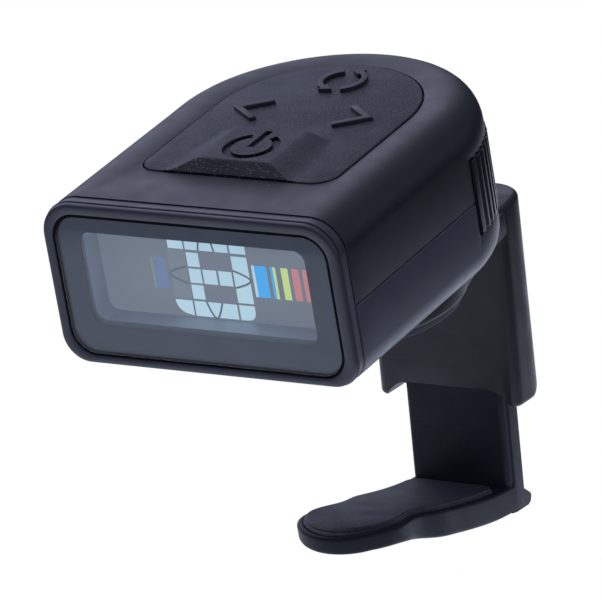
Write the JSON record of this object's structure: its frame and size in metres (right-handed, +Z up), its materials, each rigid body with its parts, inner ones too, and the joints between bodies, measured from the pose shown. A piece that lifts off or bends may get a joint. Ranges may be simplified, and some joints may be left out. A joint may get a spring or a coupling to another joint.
{
  "type": "clip on tuner",
  "caption": "Clip on instrument tuner: lens-fronted display head with rubber keys and a coin-cell drawer, swivelling on a ratcheting two-jaw clamp.",
  "frame": {"origin": "centre of the upper jaw's contact face, on the axis the head swivels about", "axes": "+Z up through the head, +Y from the display's face towards the clamp's sleeve, +X across the head"},
  "size_m": [0.0282, 0.042, 0.0445],
  "materials": {
    "case_top": "satin black, fine texture",
    "case_bottom": "satin black, fine texture",
    "bezel": "satin black",
    "lens": "clear polished",
    "lens_border": "dark printed border",
    "holder": "white moulded",
    "lcd": "colour display panel",
    "light_guide": "frosted clear",
    "led": "phosphor coated",
    "ribbon": "flexible printed film",
    "board": "solder mask",
    "chip": "moulded epoxy",
    "board_parts": "ceramic",
    "domes": "snap dome",
    "screw_steel": "blackened steel",
    "contacts": "sprung, plated",
    "piezo": "thin disc with ceramic",
    "tray": "ribbed black",
    "cell": "bright steel",
    "keypad": "spark-eroded rubber",
    "post": "turned",
    "friction": "low-wear polymer",
    "washer": "stamped",
    "clamp": "satin nylon",
    "jaw_rubber": "matt",
    "pin": "ground",
    "spring": "strip steel",
    "latch": "satin nylon",
    "jaw": "satin nylon"
  },
  "bodies": {
    "clamp": {"clamp_bracket": "clamp", "upper_jaw_pad": "jaw_rubber", "friction_washer": "friction", "latch_pin": "pin", "latch_spring": "spring"},
    "head": {"upper_shell": "case_top", "lower_shell": "case_bottom", "display_bezel": "bezel", "display_lens": "lens", "lens_gasket": "lens_border", "display_holder": "holder", "lcd_panel": "lcd", "light_guide": "light_guide", "backlight_leds": "led", "display_ribbon": "ribbon", "main_board": "board", "controller_chip": "chip", "board_parts": "board_parts", "key_domes": "domes", "board_screws": "screw_steel", "contact_positive": "contacts", "contact_negative": "contacts", "piezo_sensor": "piezo", "case_screws": "screw_steel", "keypad_mat": "keypad", "swivel_post": "post", "retaining_washer": "washer", "swivel_screw": "screw_steel"},
    "battery_drawer": {"battery_tray": "tray", "coin_cell": "cell"},
    "power_button": {"power_key": "keypad"},
    "left_button": {"left_key": "keypad"},
    "right_button": {"right_key": "keypad"},
    "flip_button": {"flip_key": "keypad"},
    "latch": {"release_latch": "latch"},
    "jaw": {"lower_jaw": "jaw", "lower_jaw_pad": "jaw_rubber"}
  },
  "joints": [
    {"name": "head_swivel", "type": "hinge", "parent": "clamp", "child": "head", "pos_m": [0, 0, 0], "axis": [0, 0, 1], "continuous": true},
    {"name": "jaw_slide", "type": "slide", "parent": "clamp", "child": "jaw", "axis": [0, 0.1184, 0.993], "range_m": [-0.004, 0.0065]},
    {"name": "latch_pivot", "type": "hinge", "parent": "clamp", "child": "latch", "pos_m": [0, 0.01671, -0.00536], "axis": [1, 0, 0], "range_deg": [-9, 0]},
    {"name": "drawer_slide", "type": "slide", "parent": "head", "child": "battery_drawer", "axis": [0, 1, 0], "range_m": [0, 0.024]},
    {"name": "power_press", "type": "slide", "parent": "head", "child": "power_button", "axis": [0, 0, -1], "range_m": [0, 0.0003], "stiffness_N_per_m": 5, "springref_m": -0.0005},
    {"name": "left_press", "type": "slide", "parent": "head", "child": "left_button", "axis": [0, 0, -1], "range_m": [0, 0.0003], "stiffness_N_per_m": 1.5, "springref_m": -0.0005},
    {"name": "right_press", "type": "slide", "parent": "head", "child": "right_button", "axis": [0, 0, -1], "range_m": [0, 0.0003], "stiffness_N_per_m": 1.5, "springref_m": -0.0005},
    {"name": "flip_press", "type": "slide", "parent": "head", "child": "flip_button", "axis": [0, 0, -1], "range_m": [0, 0.0003], "stiffness_N_per_m": 1.5, "springref_m": -0.0005}
  ]
}
